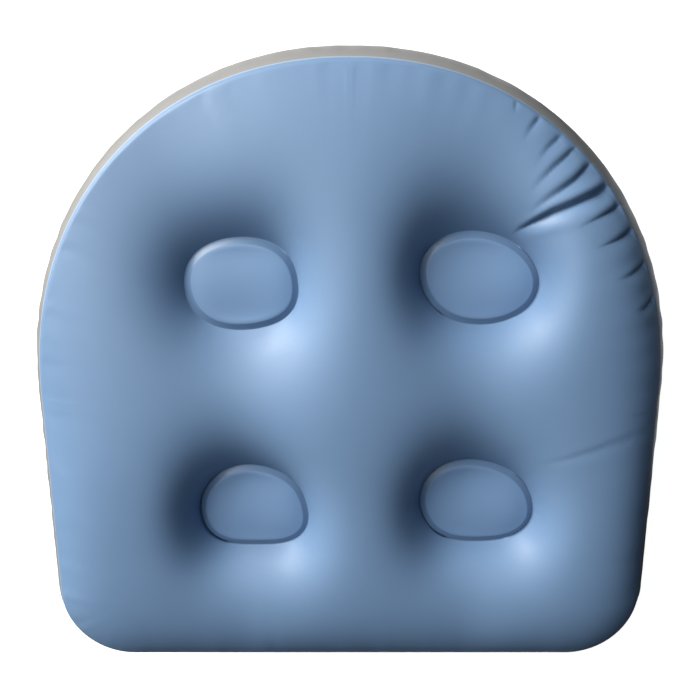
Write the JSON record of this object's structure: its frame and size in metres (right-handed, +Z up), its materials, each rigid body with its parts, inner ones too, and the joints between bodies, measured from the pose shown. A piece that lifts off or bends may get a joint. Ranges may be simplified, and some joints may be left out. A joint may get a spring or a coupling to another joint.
{
  "type": "bath pillow",
  "caption": "Inflatable bath pillow with a rounded top edge, oval weld dimples, a bulging side wall, suction cups on its back and a push-in air valve.",
  "frame": {"origin": "on the surface that the suction cups' rims stand on, under the middle of the pillow's outline", "axes": "+Z up out of the pillow's face, +Y towards its rounded top edge, +X to its right seen from the face"},
  "size_m": [0.405, 0.397, 0.1058],
  "materials": {
    "face_film": "satin blue vinyl film",
    "wall_film": "satin warm grey vinyl film",
    "back_film": "satin warm grey vinyl film",
    "tie_film": "plain vinyl film",
    "patch_film": "welded vinyl film",
    "valve_vinyl": "milky clear soft vinyl",
    "cup_vinyl": "clear soft vinyl"
  },
  "bodies": {
    "pillow": {"top_sheet": "face_film", "side_wall": "wall_film", "base_sheet": "back_film", "tie_tube_upper_right": "tie_film", "tie_tube_upper_left": "tie_film", "tie_tube_lower_left": "tie_film", "tie_tube_lower_right": "tie_film", "cup_patch_upper_right": "patch_film", "cup_patch_upper_left": "patch_film", "cup_patch_lower_left": "patch_film", "cup_patch_lower_right": "patch_film", "valve_flange": "valve_vinyl", "valve_web": "valve_vinyl"},
    "valve_stem": {"valve_stem": "valve_vinyl", "plug_strap": "valve_vinyl"},
    "valve_flap": {"valve_flap": "valve_vinyl"},
    "valve_plug": {"valve_plug": "valve_vinyl"},
    "suction_cup_upper_right": {"suction_cup_upper_right": "cup_vinyl"},
    "suction_cup_upper_left": {"suction_cup_upper_left": "cup_vinyl"},
    "suction_cup_lower_left": {"suction_cup_lower_left": "cup_vinyl"},
    "suction_cup_lower_right": {"suction_cup_lower_right": "cup_vinyl"}
  },
  "joints": [
    {"name": "cup_turn_upper_right", "type": "hinge", "parent": "pillow", "child": "suction_cup_upper_right", "pos_m": [0.064, 0.138, 0.01], "axis": [0, 0, 1], "continuous": true},
    {"name": "cup_turn_upper_left", "type": "hinge", "parent": "pillow", "child": "suction_cup_upper_left", "pos_m": [-0.064, 0.138, 0.01], "axis": [0, 0, 1], "continuous": true},
    {"name": "cup_turn_lower_left", "type": "hinge", "parent": "pillow", "child": "suction_cup_lower_left", "pos_m": [-0.13, -0.146, 0.01], "axis": [0, 0, 1], "continuous": true},
    {"name": "cup_turn_lower_right", "type": "hinge", "parent": "pillow", "child": "suction_cup_lower_right", "pos_m": [0.13, -0.146, 0.01], "axis": [0, 0, 1], "continuous": true},
    {"name": "stem_slide", "type": "slide", "parent": "pillow", "child": "valve_stem", "axis": [0, -1, 0], "range_m": [0, 0.012], "deforming": ["valve_web"]},
    {"name": "plug_pull", "type": "slide", "parent": "valve_stem", "child": "valve_plug", "axis": [0, -1, 0], "range_m": [0, 0.012], "deforming": ["plug_strap"]},
    {"name": "flap_hinge", "type": "hinge", "parent": "valve_stem", "child": "valve_flap", "pos_m": [0, -0.1821, 0.0639], "axis": [1, 0, 0], "range_deg": [0, 60], "stiffness_Nm_per_rad": 0.00005}
  ]
}
